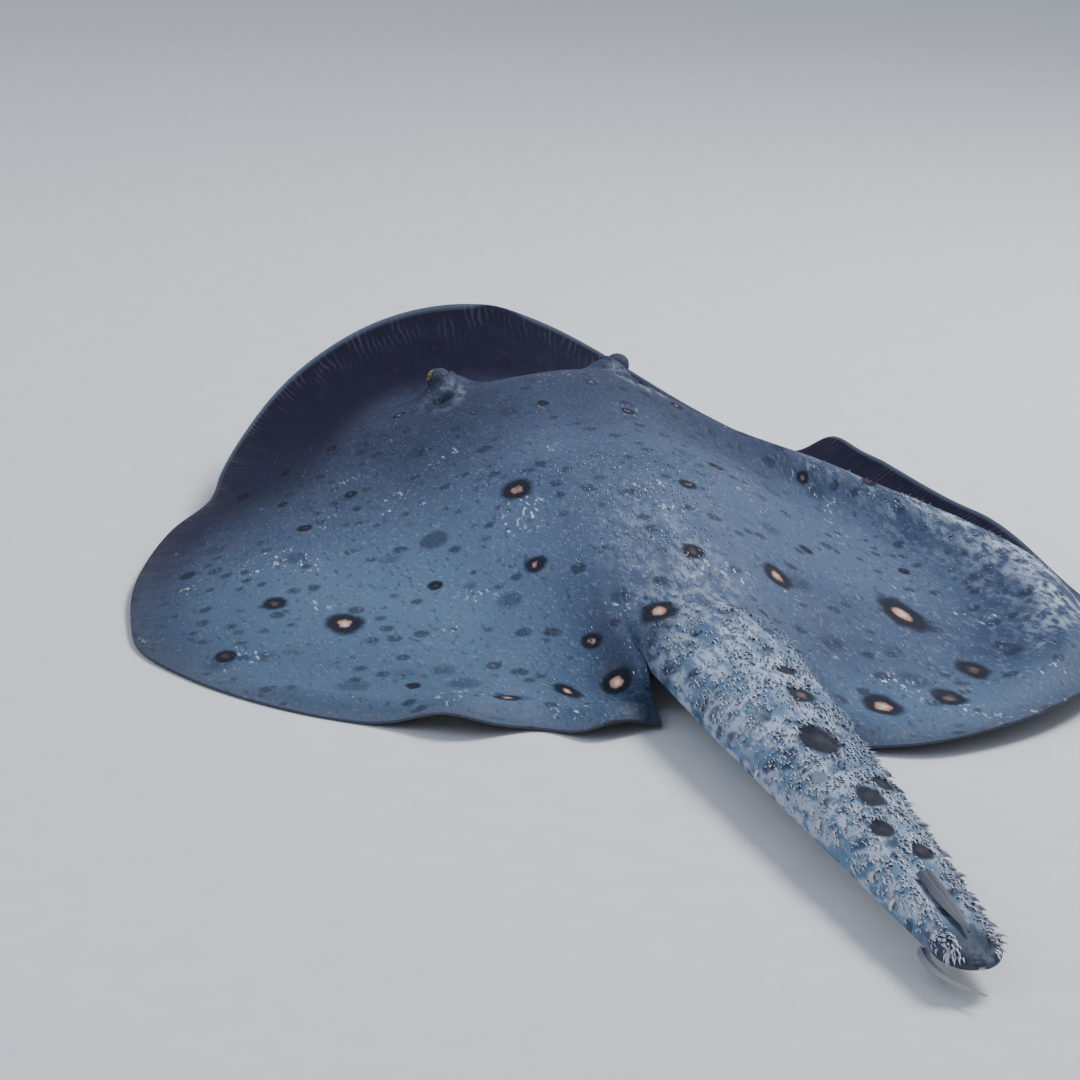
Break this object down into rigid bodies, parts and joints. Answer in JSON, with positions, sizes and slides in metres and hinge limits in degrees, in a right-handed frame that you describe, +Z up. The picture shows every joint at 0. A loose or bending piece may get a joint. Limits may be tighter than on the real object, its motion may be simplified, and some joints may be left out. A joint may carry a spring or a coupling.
{
  "type": "ocellate river stingray",
  "caption": "Life-size still model of a spotted freshwater stingray lying on the floor, its snout's rim curled up, its wings gently waved and its thorny tail held straight behind.",
  "frame": {"origin": "centre of the bounding box's base, on the floor under the middle of the animal", "axes": "+Y points the way the snout does, along the straight tail; +Z is up, +X is the animal's right"},
  "size_m": [0.472, 0.7648, 0.0797],
  "materials": {
    "skin": "moist grey-brown skin with small dark spots, pale specks and yellow-orange eyespots ringed in black; white below",
    "sting": "satin, hard, grey to bone-coloured dentine",
    "eye": "wet and glossy, dark"
  },
  "bodies": {
    "root": {"head": "skin", "trunk": "skin", "left_pectoral_fin_front": "skin", "right_pectoral_fin_front": "skin", "left_pectoral_fin_rear": "skin", "right_pectoral_fin_rear": "skin", "left_pelvic_fin": "skin", "right_pelvic_fin": "skin", "tail_base": "skin", "tail_middle": "skin", "tail_end": "skin", "sting": "sting", "old_sting": "sting", "left_eye": "eye", "right_eye": "eye"}
  },
  "joints": []
}
